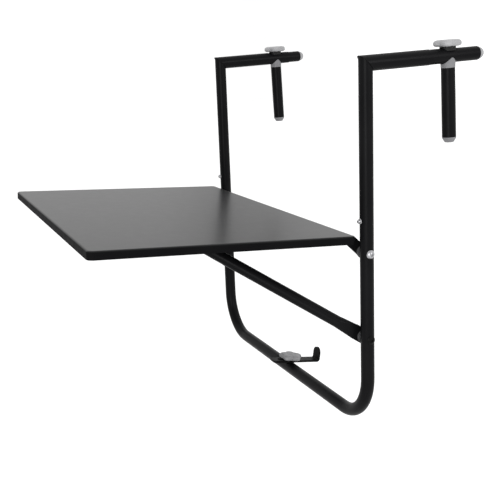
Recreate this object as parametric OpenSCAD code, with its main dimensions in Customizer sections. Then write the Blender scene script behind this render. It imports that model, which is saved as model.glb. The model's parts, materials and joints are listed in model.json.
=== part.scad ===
// Folding tabletop on a tube frame that hangs over a balcony railing.
// Two arms lie on the rail, a clamp leg on each grips it from behind,
// and a bent tube under the tabletop props it level.
// The origin is the middle of the inner corner between posts and arms,
// the line that rests on the rail's edge. +Y points to the railing.

/* [Frame] */
// Outside diameter of the frame tubes and clamp legs
tube_d = 22; // [20:0.5:25]
// Wall of the frame tubes
tube_wall = 1.2; // [1:0.1:1.6]
// Outside diameter of the outer arm tubes
arm_d = 24.2; // [23.8:0.1:26]
// Distance of the posts' centres from the tabletop's side edges
post_inset = 9; // [7:0.5:9]
// Depth of the bottom bar's axis below the arms' axis at the post
frame_h = 575.5; // [560:0.5:640]
// Centreline radius of the two bottom bends
bend_r = 79; // [60:1:85]
// Rise of the arms toward their free ends, in degrees
arm_rise = 2.1; // [0:0.1:4]
// Length of an outer arm tube from the post's centre
arm_l = 156; // [150:1:200]
// Width of the slot in an outer arm tube
slot_w = 8.6; // [8.4:0.1:10]
// Length of the slot from the arm's free end
slot_l = 46; // [40:1:60]
// Height of the post screws above the tabletop's pivots
screw_rise = 51.8; // [40:0.2:120]

/* [Clamps] */
// Distance of the right clamp leg from its post's centre
right_reach = 147.2; // [115:0.1:150]
// Distance of the left clamp leg from its post's centre
left_reach = 127.3; // [115:0.1:150]
// Length of an inner tube beyond its clamp leg
nose_l = 55.5; // [40:0.5:80]
// Length of an inner tube behind its clamp leg
tail_l = 95; // [60:1:95]
// Depth of a clamp tube's lower end below the arm's axis
leg_depth = 125.5; // [90:0.5:160]
// Diameter of the clamp studs
stud_d = 8; // [8:0.5:8]
// Distance from a knob's centre to the centres of its lobes
lobe_pcd_r = 17.3; // [15:0.1:22]
// Radius of a knob's lobes
lobe_r = 5.5; // [4:0.5:7]
// Thickness of a knob's lobed disc
knob_t = 9.4; // [7:0.2:12]

/* [Tabletop] */
// Width of the tabletop
table_w = 600; // [500:2:700]
// Depth of the tabletop, front to back
table_depth = 416; // [380:2:440]
// Rise of the tabletop toward its front, in degrees
table_tilt = 4.15; // [2:0.05:6]
// Height of the tabletop's skirts
skirt_h = 13; // [11:0.5:20]
// Thickness of the tabletop's sheet
sheet_t = 1.2; // [1:0.1:2]
// Radius of the tabletop's corners in plan
corner_r = 9; // [8:1:20]
// Outer radius of the fold between the tabletop's face and skirts
edge_r = 3.4; // [2:0.2:4]
// Depth of the tabletop's pivot below the arms' axis
pivot_drop = 289.4; // [260:0.2:310]
// Distance of the tabletop's rear edge in front of its pivot
rear_gap = 25.1; // [22:0.1:30]
// Height of the tabletop's top face above its pivot
top_rise = 29.7; // [28:0.1:34]
// Width of a hinge bracket's arm
bracket_w = 18; // [16:0.5:22]
// Thickness of the hinge brackets
bracket_t = 3; // [2:0.5:3]

/* [Support bail] */
// Outside diameter of the bail's tube
bail_d = 19; // [16:0.5:19]
// Wall of the bail's tube
bail_wall = 1.5; // [1:0.1:2]
// Depth of the bail's pivot below the arms' axis
bail_drop = 429.4; // [425:0.1:440]
// Distance from the bail's pivot to its crossbar
bail_l = 285; // [280:1:300]
// Depth of the crossbar's axis below the tabletop's top face
cross_drop = 25.5; // [25:0.1:28]
// Distance between the sharp corners at the crossbar
bail_top_w = 300; // [240:2:360]
// Centreline radius of the bail's corners
bail_corner = 60; // [40:1:70]
// Height of the bail's flattened ends
pad_h = 24; // [20:1:26]
// Thickness of the bail's flattened ends
pad_t = 5; // [4:0.5:5]

/* [Lower hook] */
// Width of the hook's strip
hook_w = 22; // [18:1:26]
// Thickness of the hook's strip
hook_t = 4; // [3:0.5:5]
// Length of the strip in front of its stud
hook_front = 39; // [34:1:40]
// Length of the strip behind its stud
hook_rear = 58.6; // [50:0.2:80]
// Height of the upturned tab above the strip's underside
tab_h = 27; // [15:1:35]
// Fall of the strip toward the rear, in degrees
hook_pitch = 9; // [0:0.5:12]
// Outer radius of the tab's bend
tab_bend = 6; // [5:0.5:10]

/* [Hidden] */
$fn = 64;
tube_r = tube_d / 2;
bore_r = tube_r - tube_wall;
arm_r = arm_d / 2;
arm_bore_r = arm_r - tube_wall;
inner_r = arm_bore_r - 0.1;
post_x = table_w / 2 - post_inset;
post_y = -tube_r;
arm_z = arm_r;
table_z = arm_z - pivot_drop;
bail_z = arm_z - bail_drop;
bar_z = arm_z - frame_h;
mitre = -(90 - arm_rise) / 2;
stud_r = stud_d / 2;
pin_r = 4;
pin_hole_r = 4.1;
seat = 0.3;
washer_t = 2.2;
// planes from the post's inner side inward, measured along X
washer_out = post_x - tube_r - seat;
washer_in = washer_out - washer_t;
bracket_out = washer_in;
bracket_in = bracket_out - bracket_t;
pad_out = washer_in;
pad_in = pad_out - pad_t;
// the bail's crossbar in the tabletop's own frame, from the table's pivot
bail_r = bail_d / 2;
pivot_gap = bail_drop - pivot_drop;
cross_z = top_rise - cross_drop;
bail_slope = table_tilt + asin((cross_z + pivot_gap * cos(table_tilt)) / bail_l);
cross_y = pivot_gap * sin(table_tilt) - bail_l * cos(bail_slope - table_tilt);
catch_t = 2;
catch_x = bail_top_w / 5;
catch_w = catch_x * 2 / 3;
catch_base = cross_z + bail_r + 0.6;
web_z = catch_base + catch_t;
sheet_z = top_rise - sheet_t;
rail_half = 16;
rail_wall = 1.5;
// the bail's leg line in its own plane
leg_x0 = pad_out - bail_r - 1.5;
leg_y0 = 46;
leg_dx = leg_x0 - bail_top_w / 2;
leg_dy = bail_l - leg_y0;
leg_a = atan(leg_dx / leg_dy);
leg_turn = 90 - leg_a;
leg_tan = bail_corner * tan(leg_turn / 2);
leg_len = sqrt(leg_dx * leg_dx + leg_dy * leg_dy) - leg_tan;
arc_x = bail_top_w / 2 - leg_tan;
arc_y = -bail_l + bail_corner;
// heights in a clamp's frame, from the arm's axis
cap_top = -2;
cap_bottom = -18.2;
washer_r = arm_r + 0.5;
washer_top = arm_r + 1.8;
hub_t = 1.6;
disc_z = washer_top + hub_t;
nut_r = stud_d * 15 / 16;
nut_h = stud_d * 13 / 16;
nut_z = cap_bottom - 10 - nut_h;
// heights in the hook's frame, from the bottom bar's axis
strip_z = tube_r + 1;
hook_hub_z = strip_z + hook_t;
hook_knob_z = hook_hub_z + 1;
slot_fwd = 24;
slot_back = 8;

// frames of reference

module at_arm(side) {
    translate([side * post_x, post_y, arm_z]) rotate([arm_rise, 0, 0]) children();
}

module at_clamp(side, reach) {
    at_arm(side) translate([0, reach, 0]) children();
}

module at_table() {
    translate([0, post_y, table_z]) rotate([-table_tilt, 0, 0]) children();
}

module at_bail() {
    translate([0, post_y, bail_z]) rotate([-bail_slope, 0, 0]) children();
}

module at_hook() {
    translate([0, post_y, bar_z]) rotate([-hook_pitch, 0, 0]) children();
}

module both_sides() {
    children();
    mirror([1, 0, 0]) children();
}

// a cylinder along +Y from y to y + l
module rod_y(r, y, l) {
    translate([0, y, 0]) rotate([-90, 0, 0]) cylinder(r = r, h = l);
}

// a cylinder along +X from x to x + l
module rod_x(r, x, l) {
    translate([x, 0, 0]) rotate([0, 90, 0]) cylinder(r = r, h = l);
}

// the half of space on the arm's side of the mitre
module arm_side() {
    translate([0, post_y, arm_z]) rotate([mitre, 0, 0])
        translate([-table_w, -frame_h, 0]) cube([2 * table_w, 2 * frame_h, frame_h]);
}

// the half of space on the post's side of the mitre
module post_side() {
    translate([0, post_y, arm_z]) rotate([mitre, 0, 0])
        translate([-table_w, -frame_h, -frame_h]) cube([2 * table_w, 2 * frame_h, frame_h]);
}

// frame

module u_path(r) {
    post_end = bar_z + bend_r;
    both_sides() {
        translate([post_x, post_y, post_end]) cylinder(r = r, h = arm_z + 30 - post_end);
        translate([post_x - bend_r, post_y, post_end]) rotate([90, 0, 0])
            rotate([0, 0, -90]) rotate_extrude(angle = 90) translate([bend_r, 0]) circle(r = r);
    }
    translate([0, post_y, bar_z]) rod_x(r, -(post_x - bend_r), 2 * (post_x - bend_r));
}

module frame_tube() {
    color([0.13, 0.13, 0.14]) difference() {
        u_path(tube_r);
        u_path(bore_r);
        arm_side();
        both_sides() {
            translate([0, post_y, table_z]) rod_x(pin_hole_r, post_x - tube_r - 2, tube_d + 4);
            translate([0, post_y, bail_z]) rod_x(pin_hole_r, post_x - tube_r - 2, tube_d + 4);
            translate([post_x, post_y, table_z + screw_rise]) rod_y(2.1, -tube_r - 2, tube_r);
        }
        at_hook() cylinder(r = pin_hole_r, h = tube_r + 2);
    }
}

module arm_tube(side) {
    color([0.13, 0.13, 0.14]) difference() {
        at_arm(side) difference() {
            rod_y(arm_r, -30, arm_l + 30);
            rod_y(arm_bore_r, -31, arm_l + 32);
            translate([-slot_w / 2, arm_l - slot_l + slot_w / 2, -arm_d])
                cube([slot_w, slot_l, 2 * arm_d]);
            translate([0, arm_l - slot_l + slot_w / 2, -arm_d])
                cylinder(r = slot_w / 2, h = 2 * arm_d);
        }
        post_side();
    }
}

module left_arm() {
    arm_tube(-1);
}

module right_arm() {
    arm_tube(1);
}

// button head on a pin along +X, head base at x, shank back to x_in
module pivot_bolt(x_in, x, head_h, head_r) {
    ball_r = (head_r * head_r + head_h * head_h) / (2 * head_h);
    rod_x(pin_r, x_in, x - x_in + 0.5);
    translate([x, 0, 0]) rotate([0, 90, 0]) difference() {
        intersection() {
            cylinder(r = head_r, h = head_h);
            translate([0, 0, head_h - ball_r]) sphere(r = ball_r);
        }
        translate([0, 0, head_h - 1.8]) cylinder(r = 2.6, h = 3, $fn = 6);
    }
}

// lock nut from x down to x - 8, its collar inward
module pivot_nut(x) {
    difference() {
        union() {
            translate([x - 6.5, 0, 0]) rotate([0, 90, 0]) cylinder(r = 7.5, h = 6.5, $fn = 6);
            rod_x(5.7, x - 8, 1.6);
        }
        rod_x(pin_r + 0.05, x - 9, 10);
    }
}

module pivot_washer() {
    difference() {
        rod_x(10.5, washer_in, washer_t);
        rod_x(pin_hole_r, washer_in - 1, washer_t + 2);
    }
}

module upper_pivot_bolts() {
    color([0.78, 0.78, 0.8]) both_sides() translate([0, post_y, table_z])
        pivot_bolt(bracket_in - 9, post_x + tube_r + seat, 4.4, 7);
}

module upper_pivot_nuts() {
    color([0.7, 0.7, 0.72]) both_sides() translate([0, post_y, table_z]) pivot_nut(bracket_in);
}

module upper_pivot_washers() {
    color([0.62, 0.62, 0.64]) both_sides() translate([0, post_y, table_z]) pivot_washer();
}

module lower_pivot_bolts() {
    color([0.1, 0.1, 0.1]) both_sides() translate([0, post_y, bail_z])
        pivot_bolt(pad_in - 9, post_x + tube_r + seat, 3.2, 7);
}

module lower_pivot_nuts() {
    color([0.7, 0.7, 0.72]) both_sides() translate([0, post_y, bail_z]) pivot_nut(pad_in);
}

module lower_pivot_washers() {
    color([0.62, 0.62, 0.64]) both_sides() translate([0, post_y, bail_z]) pivot_washer();
}

module post_screws() {
    color([0.8, 0.8, 0.82]) both_sides() translate([post_x, post_y, table_z + screw_rise])
        rotate([90, 0, 0]) {
            cylinder(r = 2, h = tube_r + 2.6);
            translate([0, 0, tube_r + 1.8]) cylinder(r = 3, h = 2.2);
            translate([0, 0, tube_r + 4]) cylinder(r1 = 3, r2 = 2, h = 1);
        }
}

module post_collars() {
    color([0.6, 0.6, 0.62]) both_sides() translate([post_x, post_y, table_z + screw_rise])
        rotate([90, 0, 0]) difference() {
            translate([0, 0, tube_r + seat]) cylinder(r = 4.2, h = 1.5);
            translate([0, 0, tube_r - 1]) cylinder(r = 2.1, h = 4);
        }
}

module hook_stud() {
    color([0.5, 0.5, 0.52]) at_hook() translate([0, 0, 6]) cylinder(r = pin_r, h = hook_knob_z + 5 - 6);
}

// tabletop, drawn in the table's frame from its pivot

// cross-section of the tray's rim, with the rounded outer edge at x = 0
module rim_2d() {
    difference() {
        union() {
            translate([-corner_r, top_rise - sheet_t]) square([corner_r - edge_r, sheet_t]);
            translate([-sheet_t, top_rise - skirt_h]) square([sheet_t, skirt_h - edge_r]);
            translate([-edge_r, top_rise - edge_r]) circle(r = edge_r);
        }
        translate([-edge_r, top_rise - edge_r]) circle(r = edge_r - sheet_t);
        translate([-3 * edge_r, top_rise - 3 * edge_r]) square([3 * edge_r - sheet_t, 2 * edge_r]);
        translate([-3 * edge_r, top_rise - 2 * edge_r])
            square([2 * edge_r, 2 * edge_r - sheet_t]);
    }
}

module rim_corner(x, y, a) {
    translate([x, y, 0]) rotate([0, 0, a]) rotate_extrude(angle = 90)
        translate([corner_r, 0]) rim_2d();
}

module rim_side(x, y, a, l) {
    translate([x, y, 0]) rotate([0, 0, a]) rotate([90, 0, 0]) linear_extrude(height = l) rim_2d();
}

module tabletop_panel() {
    half = table_w / 2;
    front = -rear_gap - table_depth;
    color([0.5, 0.51, 0.53]) at_table() difference() {
        union() {
            translate([-half + corner_r, front, sheet_z])
                translate([0, corner_r, 0])
                cube([table_w - 2 * corner_r, table_depth - 2 * corner_r, sheet_t]);
            rim_side(half, -rear_gap - corner_r, 0, table_depth - 2 * corner_r);
            rim_side(-half, front + corner_r, 180, table_depth - 2 * corner_r);
            rim_side(-half + corner_r, -rear_gap, 90, table_w - 2 * corner_r);
            rim_side(half - corner_r, front, -90, table_w - 2 * corner_r);
            rim_corner(half - corner_r, -rear_gap - corner_r, 0);
            rim_corner(-half + corner_r, -rear_gap - corner_r, 90);
            rim_corner(-half + corner_r, front + corner_r, 180);
            rim_corner(half - corner_r, front + corner_r, 270);
        }
        both_sides() translate([bracket_in - 1, -rear_gap - 6, 0])
            cube([bracket_t + 2, 8, top_rise - edge_r]);
    }
}

module bracket(side) {
    a = 44 - table_tilt;
    d = bracket_w / 2;
    reach = sheet_z / sin(a);
    web_l = 90;
    flange_w = 22;
    front = -rear_gap - web_l;
    color([0.1, 0.1, 0.1]) at_table() mirror([side < 0 ? 1 : 0, 0, 0]) difference() {
        union() {
            rod_x(d + 0.6, bracket_in, bracket_t);
            translate([bracket_in, 0, 0]) rotate([-a, 0, 0])
                translate([0, -reach - 20, -d]) cube([bracket_t, reach + 20, bracket_w]);
            translate([bracket_in, 0, 0]) rotate([90, 0, 90]) linear_extrude(height = bracket_t)
                polygon([[front, sheet_z + 8], [front, sheet_z - 2], [front + 15, sheet_z - 11.5],
                    [-rear_gap - 15, sheet_z - 15.5], [-rear_gap + 5, sheet_z + 8]]);
            translate([bracket_in - flange_w, front, sheet_z - 2.5])
                cube([flange_w + 0.5, web_l - 10, 8]);
        }
        rod_x(pin_hole_r, bracket_in - 1, bracket_t + 2);
        translate([bracket_in - 30, front - 30, sheet_z]) cube([40, web_l + 80, 60]);
        translate([bracket_in - 30, -rear_gap - edge_r, top_rise - edge_r - 0.2]) cube([40, 60, 10]);
    }
}

module left_bracket() {
    bracket(-1);
}

module right_bracket() {
    bracket(1);
}

module cross_rail() {
    wing = 14;
    l = 2 * (bracket_in - 6);
    color([0.12, 0.12, 0.12]) at_table() translate([-l / 2, cross_y, 0]) rotate([90, 0, 90])
        linear_extrude(height = l) {
            translate([-rail_half, web_z]) square([2 * rail_half, rail_wall]);
            translate([-rail_half, web_z]) square([rail_wall, sheet_z - web_z]);
            translate([rail_half - rail_wall, web_z]) square([rail_wall, sheet_z - web_z]);
            translate([-rail_half - wing, sheet_z - rail_wall]) square([wing + 1, rail_wall]);
            translate([rail_half - 1, sheet_z - rail_wall]) square([wing + 1, rail_wall]);
        }
}

module bail_catches() {
    front = 13.2;
    rear = bail_r + 0.8;
    color([0.12, 0.12, 0.12]) both_sides() at_table() translate([catch_x, cross_y, 0])
        rotate([90, 0, 90]) linear_extrude(height = catch_w) {
            translate([-front - catch_t, catch_base]) square([front + rear + 2 * catch_t, catch_t]);
            translate([-front - catch_t, catch_base - 4]) square([catch_t, 4.5]);
            translate([rear, catch_base - 13]) square([catch_t, 13.5]);
        }
}

// support bail, drawn in its own plane from its pivot

// the bent corners are a hair thinner than the straight runs that lap their ends
module bail_path(r) {
    lap = 1.5;
    both_sides() {
        translate([leg_x0, -leg_y0, 0]) rotate([90, 0, -leg_a]) cylinder(r = r, h = leg_len + lap);
        translate([arc_x, arc_y, 0]) rotate([0, 0, -90]) rotate_extrude(angle = leg_turn)
            translate([bail_corner, 0]) circle(r = r - 0.15);
    }
    translate([0, -bail_l, 0]) rod_x(r, -arc_x - lap, 2 * (arc_x + lap));
}

module bail_end() {
    difference() {
        union() {
            rod_x(pad_h / 2, pad_in, pad_t);
            translate([pad_in, -18, -pad_h / 2]) cube([pad_t, 18, pad_h]);
        }
        rod_x(pin_hole_r, pad_in - 1, pad_t + 2);
    }
    hull() {
        translate([pad_in + 0.15, -17, -pad_h / 2 + 0.3]) cube([pad_t - 0.3, 0.5, pad_h - 0.6]);
        translate([leg_x0, -leg_y0, 0]) rotate([90, 0, -leg_a])
            cylinder(r = bail_r + 0.25, h = 1, $fn = 32);
    }
}

module bail_tube() {
    color([0.13, 0.13, 0.14]) at_bail() {
        difference() {
            bail_path(bail_r);
            bail_path(bail_r - bail_wall);
        }
        both_sides() bail_end();
    }
}

// clamps, drawn in the clamp's frame from the arm's axis

module inner_tube(side, reach) {
    color([0.13, 0.13, 0.14]) at_clamp(side, reach) difference() {
        union() {
            rod_y(inner_r, -tail_l, tail_l + nose_l - 1.5);
            translate([0, nose_l - 1.5, 0]) rotate([-90, 0, 0])
                cylinder(r1 = inner_r, r2 = inner_r - 0.6, h = 1.5);
        }
        rod_y(inner_r - tube_wall, -tail_l - 1, tail_l + nose_l + 2);
        translate([0, 0, -tube_d]) cylinder(r = stud_r + 0.2, h = 2 * tube_d);
    }
}

module arm_plug(side, reach) {
    bore = inner_r - tube_wall;
    color([0.6, 0.6, 0.62]) at_clamp(side, reach) translate([0, nose_l, 0]) rotate([-90, 0, 0]) {
        translate([0, 0, -12]) cylinder(r = bore - 0.1, h = 12.5);
        cylinder(r = inner_r - 0.8, h = 1.2);
        translate([0, 0, 1.4]) sphere(r = inner_r - 1.6);
    }
}

module clamp_tube(side, reach) {
    color([0.13, 0.13, 0.14]) at_clamp(side, reach) translate([0, 0, -leg_depth]) difference() {
        cylinder(r = tube_r, h = leg_depth + cap_bottom);
        translate([0, 0, -1]) cylinder(r = bore_r, h = leg_depth + cap_bottom + 2);
    }
}

module clamp_saddle(side, reach) {
    color([0.62, 0.62, 0.64]) at_clamp(side, reach) difference() {
        union() {
            translate([0, 0, cap_bottom])
                cylinder(r1 = tube_r + 0.2, r2 = arm_r, h = cap_top - cap_bottom);
            translate([0, 0, cap_bottom - 20]) cylinder(r = bore_r - 0.1, h = 21);
        }
        rod_y(arm_r + seat, -20, 40);
        translate([0, 0, cap_bottom - 21]) cylinder(r = stud_r + 0.2, h = 40);
        translate([0, 0, cap_bottom - 21])
            cylinder(r = nut_r + 0.1, h = nut_z + nut_h + 0.2 - cap_bottom + 21, $fn = 6);
    }
}

module clamp_nut(side, reach) {
    color([0.7, 0.7, 0.72]) at_clamp(side, reach) translate([0, 0, nut_z]) difference() {
        cylinder(r = nut_r, h = nut_h, $fn = 6);
        translate([0, 0, -1]) cylinder(r = stud_r + 0.05, h = nut_h + 2);
    }
}

module clamp_plug(side, reach) {
    color([0.6, 0.6, 0.62]) at_clamp(side, reach) translate([0, 0, -leg_depth]) {
        translate([0, 0, -0.5]) cylinder(r = bore_r - 0.1, h = 14.5);
        translate([0, 0, -1.5]) cylinder(r = tube_r, h = 1.5);
        translate([0, 0, -8]) cylinder(r1 = tube_r - 4, r2 = tube_r, h = 6.5);
    }
}

module saddle_washer(side, reach) {
    color([0.1, 0.1, 0.1]) at_clamp(side, reach) difference() {
        translate([0, 0, arm_r - 4.5]) cylinder(r = washer_r, h = washer_top - arm_r + 4.5);
        rod_y(arm_r + seat, -20, 40);
        cylinder(r = stud_r + 0.2, h = 30);
    }
}

// five lobes around a web, a raised boss in the middle
module lobed_disc(turn) {
    bevel = 2;
    cylinder(r = lobe_pcd_r - 1.5, h = knob_t - 0.8);
    translate([0, 0, 0.5]) cylinder(r = 9, h = knob_t - 0.5);
    for (i = [0:4]) rotate([0, 0, turn + 72 * i]) translate([lobe_pcd_r, 0, 0]) {
        translate([0, 0, bevel]) cylinder(r = lobe_r, h = knob_t - 2 * bevel);
        cylinder(r1 = lobe_r - bevel, r2 = lobe_r, h = bevel);
        translate([0, 0, knob_t - bevel]) cylinder(r1 = lobe_r, r2 = lobe_r - bevel, h = bevel);
    }
}

module lobed_knob(side, reach, turn) {
    color([0.62, 0.62, 0.64]) at_clamp(side, reach) difference() {
        union() {
            translate([0, 0, washer_top]) cylinder(r = washer_r - 1.5, h = hub_t + 1);
            translate([0, 0, disc_z]) lobed_disc(turn);
        }
        translate([0, 0, washer_top - 1]) cylinder(r = stud_r + 0.05, h = 8);
    }
}

module knob_stud(side, reach) {
    color([0.72, 0.72, 0.74]) at_clamp(side, reach) translate([0, 0, nut_z - 3])
        cylinder(r = stud_r, h = washer_top + 6.5 - nut_z + 3);
}

module left_inner_tube() {
    inner_tube(-1, left_reach);
}

module left_arm_plug() {
    arm_plug(-1, left_reach);
}

module left_clamp_tube() {
    clamp_tube(-1, left_reach);
}

module left_clamp_saddle() {
    clamp_saddle(-1, left_reach);
}

module left_clamp_plug() {
    clamp_plug(-1, left_reach);
}

module left_clamp_nut() {
    clamp_nut(-1, left_reach);
}

module left_saddle_washer() {
    saddle_washer(-1, left_reach);
}

module left_knob() {
    lobed_knob(-1, left_reach, 44);
}

module left_knob_stud() {
    knob_stud(-1, left_reach);
}

module right_inner_tube() {
    inner_tube(1, right_reach);
}

module right_arm_plug() {
    arm_plug(1, right_reach);
}

module right_clamp_tube() {
    clamp_tube(1, right_reach);
}

module right_clamp_saddle() {
    clamp_saddle(1, right_reach);
}

module right_clamp_plug() {
    clamp_plug(1, right_reach);
}

module right_clamp_nut() {
    clamp_nut(1, right_reach);
}

module right_saddle_washer() {
    saddle_washer(1, right_reach);
}

module right_knob() {
    lobed_knob(1, right_reach, 30);
}

module right_knob_stud() {
    knob_stud(1, right_reach);
}

// lower hook, drawn in the hook's frame from the bottom bar's axis

module hook_washer() {
    color([0.1, 0.1, 0.1]) at_hook() difference() {
        translate([0, 0, tube_r + seat]) cylinder(r = 10, h = strip_z - tube_r - seat);
        cylinder(r = pin_r + 0.1, h = 30);
    }
}

module hook_strip() {
    rise = tab_h - hook_w / 2;
    half = hook_w / 2;
    color([0.1, 0.1, 0.1]) at_hook() difference() {
        union() {
            translate([-half, -hook_front + 3, strip_z])
                cube([hook_w, hook_front + hook_rear - 3 - tab_bend, hook_t]);
            translate([-half + 3, -hook_front, strip_z]) cube([hook_w - 6, 10, hook_t]);
            translate([half - 3, -hook_front + 3, strip_z]) cylinder(r = 3, h = hook_t);
            translate([-half + 3, -hook_front + 3, strip_z]) cylinder(r = 3, h = hook_t);
            translate([0, hook_rear - tab_bend, strip_z + tab_bend]) intersection() {
                difference() {
                    rod_x(tab_bend, -half, hook_w);
                    rod_x(tab_bend - hook_t, -half - 1, hook_w + 2);
                }
                translate([-half - 1, 0, -tab_bend - 1]) cube([hook_w + 2, tab_bend + 1, tab_bend + 1]);
            }
            translate([-half, hook_rear - hook_t, strip_z + tab_bend])
                cube([hook_w, hook_t, rise - tab_bend]);
            translate([0, 0, strip_z + rise]) intersection() {
                rod_y(half, hook_rear - hook_t, hook_t);
                translate([-half - 1, 0, 0]) cube([hook_w + 2, hook_rear + 1, half + 1]);
            }
        }
        translate([-pin_hole_r, -slot_fwd, strip_z - 1])
            cube([2 * pin_hole_r, slot_fwd + slot_back, hook_t + 2]);
        translate([0, -slot_fwd, strip_z - 1]) cylinder(r = pin_hole_r, h = hook_t + 2);
        translate([0, slot_back, strip_z - 1]) cylinder(r = pin_hole_r, h = hook_t + 2);
    }
}

module hook_knob() {
    color([0.55, 0.55, 0.57]) at_hook() difference() {
        union() {
            translate([0, 0, hook_hub_z]) cylinder(r = 11, h = 1.5);
            translate([0, 0, hook_knob_z]) lobed_disc(20);
        }
        translate([0, 0, hook_hub_z - 1]) cylinder(r = pin_r + 0.05, h = 7.2);
    }
}

frame_tube();
left_arm();
right_arm();
upper_pivot_bolts();
upper_pivot_nuts();
upper_pivot_washers();
lower_pivot_bolts();
lower_pivot_nuts();
lower_pivot_washers();
post_screws();
post_collars();
hook_stud();
tabletop_panel();
left_bracket();
right_bracket();
cross_rail();
bail_catches();
bail_tube();
left_inner_tube();
left_arm_plug();
left_clamp_tube();
left_clamp_saddle();
left_clamp_plug();
left_clamp_nut();
left_saddle_washer();
left_knob();
left_knob_stud();
right_inner_tube();
right_arm_plug();
right_clamp_tube();
right_clamp_saddle();
right_clamp_plug();
right_clamp_nut();
right_saddle_washer();
right_knob();
right_knob_stud();
hook_washer();
hook_strip();
hook_knob();
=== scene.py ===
import json
import math

import bmesh
import bpy
from mathutils import Euler, Matrix, Vector


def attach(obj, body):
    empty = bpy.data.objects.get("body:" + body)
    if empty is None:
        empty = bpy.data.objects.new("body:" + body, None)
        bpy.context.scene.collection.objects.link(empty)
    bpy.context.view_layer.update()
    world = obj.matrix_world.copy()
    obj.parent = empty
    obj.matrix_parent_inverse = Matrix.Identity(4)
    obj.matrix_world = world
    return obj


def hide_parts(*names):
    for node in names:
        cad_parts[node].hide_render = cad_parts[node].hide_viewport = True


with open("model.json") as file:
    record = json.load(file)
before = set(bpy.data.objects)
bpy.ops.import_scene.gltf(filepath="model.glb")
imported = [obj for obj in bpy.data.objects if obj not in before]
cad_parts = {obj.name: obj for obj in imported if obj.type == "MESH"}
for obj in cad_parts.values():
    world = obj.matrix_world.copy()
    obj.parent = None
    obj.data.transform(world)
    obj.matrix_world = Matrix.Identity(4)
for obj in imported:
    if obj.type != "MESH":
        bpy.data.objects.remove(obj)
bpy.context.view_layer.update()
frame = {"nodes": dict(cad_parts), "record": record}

nodes = frame["nodes"]
joints = {j["name"]: j for j in frame["record"]["behaviour"]["joints"]}
mounts = {m["name"]: m for m in frame["record"]["mounts"]}

# Places and directions from the frame, in metres and radians
TABLE_PIVOT = Vector(joints["table_fold"]["pos_m"])
TOP_NORMAL = Vector(mounts["tabletop"]["axis"])
TILT = math.asin(TOP_NORMAL.y)
POST_X = joints["right_knob_turn"]["pos_m"][0]
ARM_RISE = math.asin(joints["right_arm_slide"]["axis"][2])

# Outer radii of the frame's tube and of the arms, in metres
TUBE_R = 0.011
ARM_R = 0.0121

# Where the underside's welds lie in the tabletop's own frame, in metres
SHEET_Z = 0.0285
RAIL_Y = -0.2359
RAIL_WELD_OFFSET = 0.030
RAIL_WELD_X = (-0.24, -0.08, 0.08, 0.24)
BRACKET_WELD_X = 0.2525
BRACKET_WELD_Y = (-0.105, -0.050)

# Weld beads, in metres
CORNER_BEAD_R = 0.0006
CORNER_RIPPLE = 0.00005
CORNER_RIPPLES = 24
CORNER_TIP_THINNING = 0.6
CORNER_STEPS = 96
STITCH_R = 0.0011
STITCH_END_SHARE = 0.55
STITCH_RIPPLE_SHARE = 0.08
STITCH_RIPPLE_RATE = 40
STITCH_STEPS = 12
STITCH_SINK = 0.0008
RAIL_STITCH = 0.020
BRACKET_STITCH = 0.018

# Hand knobs, in metres
KNOB_TIP_R = 0.0224
KNOB_HOLLOW_R = 0.0172
KNOB_LOBES = 5
KNOB_SIDES = 160
LOBE_BREADTH = 0.65
LOBES_START_R = 0.0115
LOBES_SPAN = 0.0065
BORE_R = 0.0041
BORE_DEPTH = 0.0062
HUB_R = 0.0110
HUB_EDGE = 0.0004
# Half breadth and half height of the arcs round the rim
LOWER_RIM = (0.0054, 0.0038)
UPPER_RIM = (0.0064, 0.0046)
CROWN = 0.0002
CAP_R = 0.0086
# The groove round the cap, as offsets from its radius and depths below the top
CAP_GROOVE = [
    (0.0010, 0.0), (0.0006, 0.0001), (0.0002, 0.0005),
    (-0.0002, 0.0005), (-0.0006, 0.0001), (-0.0010, 0.0),
]

# The panel's satin coat, and how far a face has to look upward for none and for all of it
TOP_COAT_WEIGHT = 0.50
TOP_COAT_ROUGH = 0.28
TOP_COAT_FACING = (0.35, 0.92)

# The pinhole camera that gives the photograph's view: metres, degrees and millimetres
CAMERA_PLACE = (1.41458, -0.68734, 0.04196)
CAMERA_TURNS = (76.66580, 2.194094, 66.360519)
CAMERA_LENS = 61.817
CAMERA_SENSOR = 36.0
CAMERA_SHIFT = (-0.00114, 0.00106)
CAMERA_REACH = (0.05, 60.0)

# Studio floor, in metres, and its two near greys
FLOOR_Z = -1.0
FLOOR_HALF = 14.0
FLOOR_GREYS = (0.80, 0.815)
# Studio walls and ceiling: brightness by direction, and where each change starts and ends
WALL_AXIS = (0.92, -0.39, 0.0)
WALL_FADE = (-0.3, 0.7)
WALL_BEYOND = 1.32
WALL_BEHIND = 0.92
GAP_AXIS = (-0.407, -0.914, 0.0)
GAP_EDGE = (0.01, 0.10)
GAP_SHADE = 0.76
UPWARD = (0.0, 0.0, 1.0)
CEILING_EDGE = (0.25, 0.9)
CEILING_LIFT = 0.35
# Lamps: name, place, aim, width and height in metres, and power in watts
LAMPS = [
    ("key", (2.05, -1.6, 0.10), (0, -0.1, -0.2), (0.8, 1.5), 34),
    ("side", (2.3, 0.98, 0.60), (0, 0, -0.1), (0.8, 0.9), 22),
]


# Shader nodes

def new_material(name):
    mat = bpy.data.materials.new(name)
    mat.use_nodes = True
    tree = mat.node_tree
    shader = tree.nodes["Principled BSDF"]
    coord = tree.nodes.new("ShaderNodeTexCoord")
    return mat, tree, shader, coord.outputs["Object"]


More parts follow.
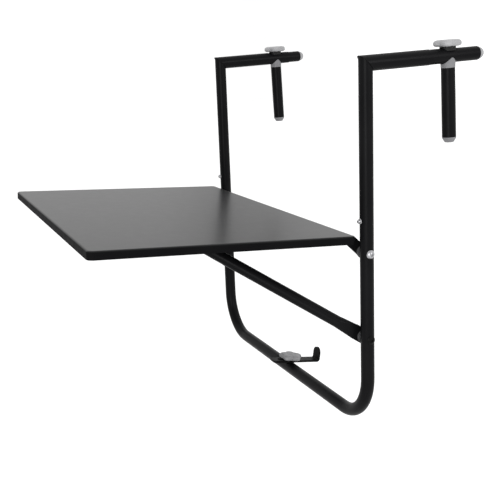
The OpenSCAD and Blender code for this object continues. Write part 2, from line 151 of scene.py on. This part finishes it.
def noise(tree, vector, scale, detail=3.0, rough=0.55):
    node = tree.nodes.new("ShaderNodeTexNoise")
    node.inputs["Scale"].default_value = scale
    node.inputs["Detail"].default_value = detail
    node.inputs["Roughness"].default_value = rough
    tree.links.new(vector, node.inputs["Vector"])
    return node.outputs["Fac"]


def ramp(tree, fac, low, high, blue):
    """Two near greys, each with a little more blue, mixed by the middle of a noise."""
    node = tree.nodes.new("ShaderNodeValToRGB")
    for element, position, value in zip(node.color_ramp.elements, (0.35, 0.65), (low, high)):
        element.position = position
        element.color = (value, value, value + blue, 1)
    tree.links.new(fac, node.inputs["Fac"])
    return node.outputs["Color"]


def map_range(tree, value, start, end, low, high, smooth=False):
    node = tree.nodes.new("ShaderNodeMapRange")
    if smooth:
        node.interpolation_type = "SMOOTHSTEP"
    node.inputs["From Min"].default_value = start
    node.inputs["From Max"].default_value = end
    node.inputs["To Min"].default_value = low
    node.inputs["To Max"].default_value = high
    tree.links.new(value, node.inputs["Value"])
    return node.outputs["Result"]


def spread(tree, fac, low, high):
    """A noise's middle stretched over a range of roughness."""
    return map_range(tree, fac, 0.3, 0.7, low, high)


def facing(tree, direction, axis):
    """How far a direction points along an axis, from -1 to 1."""
    node = tree.nodes.new("ShaderNodeVectorMath")
    node.operation = "DOT_PRODUCT"
    node.inputs[1].default_value = axis
    tree.links.new(direction, node.inputs[0])
    return node.outputs["Value"]


def combine(tree, operation, first, second=None):
    node = tree.nodes.new("ShaderNodeMath")
    node.operation = operation
    tree.links.new(first, node.inputs[0])
    if second:
        tree.links.new(second, node.inputs[1])
    return node.outputs["Value"]


def bump(tree, shader, height, distance):
    node = tree.nodes.new("ShaderNodeBump")
    node.inputs["Strength"].default_value = 1.0
    node.inputs["Distance"].default_value = distance
    tree.links.new(height, node.inputs["Height"])
    tree.links.new(node.outputs["Normal"], shader.inputs["Normal"])


# Materials

def powder_coat(name, low, high, blue, rough, specular, grain=1500.0, depth=0.00003):
    """Baked powder paint: a fine orange peel, slow changes of tone, and gloss that varies a little."""
    mat, tree, shader, vector = new_material(name)
    slow = noise(tree, vector, scale=14.0, detail=2.0)
    fine = noise(tree, vector, scale=grain, detail=2.0, rough=0.4)
    gloss = noise(tree, vector, scale=60.0)
    tree.links.new(ramp(tree, slow, low, high, blue), shader.inputs["Base Color"])
    tree.links.new(spread(tree, gloss, rough - 0.03, rough + 0.05), shader.inputs["Roughness"])
    bump(tree, shader, fine, distance=depth)
    shader.inputs["Specular IOR Level"].default_value = specular
    return mat


def moulded(name, low, high, blue=0.005, rough=0.5, specular=0.35):
    """Moulded plastic: a spark-eroded grain, faint flow marks and slightly uneven gloss."""
    mat, tree, shader, vector = new_material(name)
    flow = noise(tree, vector, scale=90.0, detail=4.0)
    grain = noise(tree, vector, scale=3500.0, detail=2.0, rough=0.5)
    gloss = noise(tree, vector, scale=300.0)
    tree.links.new(ramp(tree, flow, low, high, blue), shader.inputs["Base Color"])
    tree.links.new(spread(tree, gloss, rough - 0.05, rough + 0.06), shader.inputs["Roughness"])
    bump(tree, shader, grain, distance=0.00002)
    shader.inputs["Specular IOR Level"].default_value = specular
    return mat


def plated(name, low, high, blue, rough):
    """Zinc plate on turned steel: fine lines and a cloudy sheen."""
    mat, tree, shader, vector = new_material(name)
    cloud = noise(tree, vector, scale=400.0)
    stretch = tree.nodes.new("ShaderNodeMapping")
    stretch.inputs["Scale"].default_value = (6.0, 1.0, 1.0)
    tree.links.new(vector, stretch.inputs["Vector"])
    lines = noise(tree, stretch.outputs["Vector"], scale=1800.0, detail=2.0)
    tree.links.new(ramp(tree, cloud, low, high, blue), shader.inputs["Base Color"])
    tree.links.new(spread(tree, cloud, rough - 0.02, rough + 0.04), shader.inputs["Roughness"])
    bump(tree, shader, lines, distance=0.000003)
    shader.inputs["Metallic"].default_value = 1.0
    return mat


def polish_top_face(mat):
    """The panel's upper face is smooth and satin, while its folds and underside stay dull."""
    tree = mat.node_tree
    shader = tree.nodes["Principled BSDF"]
    normal = tree.nodes.new("ShaderNodeTexCoord").outputs["Normal"]
    weight = map_range(tree, facing(tree, normal, TOP_NORMAL), *TOP_COAT_FACING, 0.0, TOP_COAT_WEIGHT)
    tree.links.new(weight, shader.inputs["Coat Weight"])
    shader.inputs["Coat Roughness"].default_value = TOP_COAT_ROUGH
    shader.inputs["Coat IOR"].default_value = 1.5


BLACK = powder_coat("black_powder", 0.0034, 0.0046, blue=0.0004, rough=0.33, specular=0.040)
TOP = powder_coat(
    "black_top_powder", 0.0026, 0.0034, blue=0.0003, rough=0.60, specular=0.02, grain=2200.0, depth=0.000012
)
polish_top_face(TOP)
GREY = moulded("grey_plastic", 0.225, 0.255)
CAP = moulded("cap_plastic", 0.115, 0.135)
WASHER = moulded("washer_plastic", 0.050, 0.062, blue=0.002, specular=0.2)
KNOB = moulded("knob_plastic", 0.14, 0.165)
DARK = moulded("black_plastic", 0.007, 0.010, blue=0.0, specular=0.12)
STEEL = powder_coat("black_steel", 0.0026, 0.0036, blue=0.0, rough=0.45, specular=0.045, grain=1200.0)
ZINC = plated("zinc_plate", 0.29, 0.34, blue=0.01, rough=0.27)
SLOTS = {
    "black_coat": BLACK,
    "top_coat": TOP,
    "grey_plastic": GREY,
    "knob_plastic": KNOB,
    "black_plastic": DARK,
    "black_steel": STEEL,
    "zinc_steel": ZINC,
}
# Shades of grey within one slot, by what follows the first word of a node's name
SHADES = {
    "clamp_saddle": CAP,
    "clamp_plug": CAP,
    "pivot_washers": WASHER,
}
# Moulded grips: node, joint, body, slot, material, turn of the lobes in degrees,
# depth of the grip's top below the solid's, and thickness of the rim, in metres
GRIPS = [
    ("left_knob", "left_knob_turn", "left_hand_knob", "grey_plastic", GREY, 44, 0.0006, 0.0102),
    ("right_knob", "right_knob_turn", "right_hand_knob", "grey_plastic", GREY, 30, 0.0006, 0.0102),
    ("hook_knob", "hook_knob_turn", "hook_hand_knob", "knob_plastic", KNOB, 20, 0.0, 0.0097),
]


def dress():
    """Each carried solid gets its slot's material, or its own shade of it."""
    slot_of = {s["node"]: s["material_slot"] for s in frame["record"]["subparts"]}
    for name, obj in nodes.items():
        mat = SHADES.get(name.split("_", 1)[1], SLOTS[slot_of[name]])
        if not obj.material_slots:
            obj.data.materials.append(mat)
        for s in obj.material_slots:
            s.material = mat


# Pieces

def mesh_object(name, bm, mat, body):
    mesh = bpy.data.meshes.new(name)
    bm.to_mesh(mesh)
    bm.free()
    obj = bpy.data.objects.new(name, mesh)
    bpy.context.scene.collection.objects.link(obj)
    mesh.materials.append(mat)
    for p in mesh.polygons:
        p.use_smooth = True
    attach(obj, body)
    return obj


def sweep(bm, path, radii, closed, sides=10):
    """A round tube along path, with one radius for each point."""
    guide = Vector((0.3, 0.2, 1.0))
    count = len(path)
    rings = []
    for i, point in enumerate(path):
        before = path[i - 1] if closed or i else path[i]
        after = path[(i + 1) % count] if closed or i < count - 1 else path[i]
        along = (after - before).normalized()
        side = along.cross(guide).normalized()
        up = side.cross(along)
        ring = []
        for k in range(sides):
            a = 2 * math.pi * k / sides
            ring.append(bm.verts.new(point + radii[i] * (math.cos(a) * side + math.sin(a) * up)))
        rings.append(ring)
    last = count if closed else count - 1
    for i in range(last):
        a, b = rings[i], rings[(i + 1) % count]
        for k in range(sides):
            n = (k + 1) % sides
            bm.faces.new((a[k], a[n], b[n], b[k]))
    if not closed:
        bm.faces.new(rings[0][::-1])
        bm.faces.new(rings[-1])


def corner_weld(side):
    """The painted weld round the mitre between a post and its arm, thinner at the corner's two tips."""
    bm = bmesh.new()
    corner = Vector((side * POST_X, TABLE_PIVOT.y, ARM_R))
    slope = -(math.pi / 2 - ARM_RISE) / 2
    along = Vector((0, math.cos(slope), math.sin(slope)))
    stretch = 1 / math.cos(math.pi / 2 + slope)
    r = (TUBE_R + ARM_R) / 2
    path, radii = [], []
    for i in range(CORNER_STEPS):
        a = 2 * math.pi * i / CORNER_STEPS
        path.append(corner + Vector((r * math.cos(a), 0, 0)) + r * stretch * math.sin(a) * along)
        thinning = CORNER_TIP_THINNING * abs(math.sin(a)) ** 6
        radii.append((CORNER_BEAD_R + CORNER_RIPPLE * math.sin(CORNER_RIPPLES * a)) * (1 - thinning))
    sweep(bm, path, radii, closed=True)
    mesh_object(("left" if side < 0 else "right") + "_corner_weld", bm, BLACK, "frame")


def on_table(x, y, z):
    """A point given in the tabletop's own frame, from its pivot."""
    ahead = y * math.cos(TILT) + z * math.sin(TILT)
    above = -y * math.sin(TILT) + z * math.cos(TILT)
    return TABLE_PIVOT + Vector((x, ahead, above))


def stitch_weld(bm, start, end):
    """A short bead that swells in its middle."""
    path, radii = [], []
    for i in range(STITCH_STEPS + 1):
        t = i / STITCH_STEPS
        path.append(start.lerp(end, t))
        swell = STITCH_END_SHARE + (1 - STITCH_END_SHARE) * math.sin(math.pi * t)
        ripple = 1 + STITCH_RIPPLE_SHARE * math.sin(STITCH_RIPPLE_RATE * t)
        radii.append(STITCH_R * swell * ripple)
    sweep(bm, path, radii, closed=False, sides=8)


def underside_welds():
    """Short welds that hold the rail and the brackets to the panel."""
    bm = bmesh.new()
    z = SHEET_Z - STITCH_SINK
    half = RAIL_STITCH / 2
    for y in (RAIL_Y - RAIL_WELD_OFFSET, RAIL_Y + RAIL_WELD_OFFSET):
        for x in RAIL_WELD_X:
            stitch_weld(bm, on_table(x - half, y, z), on_table(x + half, y, z))
    half = BRACKET_STITCH / 2
    for x in (-BRACKET_WELD_X, BRACKET_WELD_X):
        for y in BRACKET_WELD_Y:
            stitch_weld(bm, on_table(x, y - half, z), on_table(x, y + half, z))
    mesh_object("underside_welds", bm, BLACK, "tabletop")


def lobed_radius(angle, turn):
    """The grip's outline: broad lobes with shallow hollows between them."""
    wave = 0.5 + 0.5 * math.cos(KNOB_LOBES * (angle - turn))
    return KNOB_HOLLOW_R + (KNOB_TIP_R - KNOB_HOLLOW_R) * wave ** LOBE_BREADTH


def lobe_share(radius):
    """How much of the lobes a radius takes: none at the hub, all of them near the rim."""
    share = min(max((radius - LOBES_START_R) / LOBES_SPAN, 0.0), 1.0)
    return share * share * (3 - 2 * share)


def arc(centre_r, centre_h, half_r, half_h, start, end, steps):
    """An elliptical arc in a knob's half section, as radius and height, between two angles in degrees."""
    points = []
    for i in range(steps + 1):
        a = math.radians(start + (end - start) * i / steps)
        points.append((centre_r + half_r * math.cos(a), centre_h + half_h * math.sin(a)))
    return points


def grip_profile(hub, under, top):
    """The half section, from the stud's bore over the hub and round the rim to the middle of the cap."""
    low_r, low_h = LOWER_RIM
    high_r, high_h = UPPER_RIM
    return [
        (0.0, hub + BORE_DEPTH), (BORE_R, hub + BORE_DEPTH), (BORE_R, hub),
        (HUB_R - HUB_EDGE, hub), (HUB_R, hub + HUB_EDGE),
        (HUB_R, under - HUB_EDGE), (HUB_R + HUB_EDGE, under),
        *arc(KNOB_TIP_R - low_r, under + low_h, low_r, low_h, start=-90, end=0, steps=6),
        *arc(KNOB_TIP_R - high_r, top - CROWN - high_h, high_r, high_h, start=0, end=90, steps=8),
        *[(CAP_R + offset, top - depth) for offset, depth in CAP_GROOVE],
        (0.0, top),
    ]


def knob_grip(node, joint, body, slot, mat, turn_deg, drop, thickness):
    """A moulded hand knob in its solid's place: hub, soft lobed rim, crowned top and pressed-in cap."""
    centre = Vector(joints[joint]["pos_m"])
    ez = Vector(joints[joint]["axis"]).normalized()
    ex = Vector((1, 0, 0))
    ey = ez.cross(ex)
    heights = [(v.co - centre).dot(ez) for v in nodes[node].data.vertices]
    top = max(heights) - drop
    turn = math.radians(turn_deg)
    bm = bmesh.new()
    rings = []
    for radius, height in grip_profile(min(heights), top - thickness, top):
        if radius == 0.0:
            rings.append([bm.verts.new(centre + height * ez)])
            continue
        ring = []
        for k in range(KNOB_SIDES):
            a = 2 * math.pi * k / KNOB_SIDES
            r = radius + lobe_share(radius) * (lobed_radius(a, turn) - KNOB_TIP_R) * radius / KNOB_TIP_R
            ring.append(bm.verts.new(centre + r * math.cos(a) * ex + r * math.sin(a) * ey + height * ez))
        rings.append(ring)
    for low, high in zip(rings, rings[1:]):
        for k in range(KNOB_SIDES):
            n = (k + 1) % KNOB_SIDES
            if len(low) == 1:
                bm.faces.new((low[0], high[k], high[n]))
            elif len(high) == 1:
                bm.faces.new((low[n], low[k], high[0]))
            else:
                bm.faces.new((low[n], low[k], high[k], high[n]))
    bmesh.ops.recalc_face_normals(bm, faces=bm.faces)
    grip = mesh_object(node + "_grip", bm, mat, body)
    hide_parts(node)


# Floor, light and camera

def set_floor():
    bm = bmesh.new()
    bmesh.ops.create_grid(bm, x_segments=8, y_segments=8, size=FLOOR_HALF)
    mesh = bpy.data.meshes.new("floor")
    bm.to_mesh(mesh)
    bm.free()
    floor = bpy.data.objects.new("floor", mesh)
    floor.location = (0, 0, FLOOR_Z)
    bpy.context.scene.collection.objects.link(floor)
    mat, tree, shader, vector = new_material("pale_floor")
    tone = ramp(tree, noise(tree, vector, scale=3.0), *FLOOR_GREYS, blue=0.0)
    tree.links.new(tone, shader.inputs["Base Color"])
    shader.inputs["Roughness"].default_value = 0.9
    mesh.materials.append(mat)


def set_backdrop():
    """A white studio: bright walls beyond the table with a dimmer gap between them, and a bright ceiling."""
    world = bpy.data.worlds.new("studio")
    world.use_nodes = True
    tree = world.node_tree
    direction = tree.nodes.new("ShaderNodeTexCoord").outputs["Generated"]
    behind = facing(tree, direction, WALL_AXIS)
    across = combine(tree, "ABSOLUTE", facing(tree, direction, GAP_AXIS))
    upward = facing(tree, direction, UPWARD)
    walls = map_range(tree, behind, *WALL_FADE, WALL_BEYOND, WALL_BEHIND, smooth=True)
    gap = map_range(tree, across, *GAP_EDGE, GAP_SHADE, 1.0, smooth=True)
    ceiling = map_range(tree, upward, *CEILING_EDGE, 0.0, CEILING_LIFT, smooth=True)
    total = combine(tree, "ADD", combine(tree, "MULTIPLY", walls, gap), ceiling)
    tree.links.new(total, tree.nodes["Background"].inputs["Strength"])
    tree.nodes["Background"].inputs["Color"].default_value = (1, 1, 1, 1)
    bpy.context.scene.world = world


def lamp(name, place, aim, size, power):
    data = bpy.data.lights.new(name, "AREA")
    data.shape = "RECTANGLE"
    data.size = size[0]
    data.size_y = size[1]
    data.energy = power
    obj = bpy.data.objects.new(name, data)
    bpy.context.scene.collection.objects.link(obj)
    obj.location = place
    obj.visible_camera = False
    look = Vector(aim) - Vector(place)
    obj.rotation_euler = look.to_track_quat("-Z", "Y").to_euler()


def set_camera():
    data = bpy.data.cameras.new("camera")
    data.lens = CAMERA_LENS
    data.sensor_width = CAMERA_SENSOR
    data.sensor_fit = "HORIZONTAL"
    data.shift_x, data.shift_y = CAMERA_SHIFT
    data.clip_start, data.clip_end = CAMERA_REACH
    cam = bpy.data.objects.new("camera", data)
    bpy.context.scene.collection.objects.link(cam)
    turn = Euler([math.radians(a) for a in CAMERA_TURNS]).to_matrix()
    cam.matrix_world = Matrix.Translation(CAMERA_PLACE) @ turn.to_4x4()
    bpy.context.scene.camera = cam


dress()
for side in (-1, 1):
    corner_weld(side)
underside_welds()
for values in GRIPS:
    knob_grip(*values)
set_floor()
set_backdrop()
for values in LAMPS:
    lamp(*values)
set_camera()
bpy.context.scene.view_settings.view_transform = "Standard"
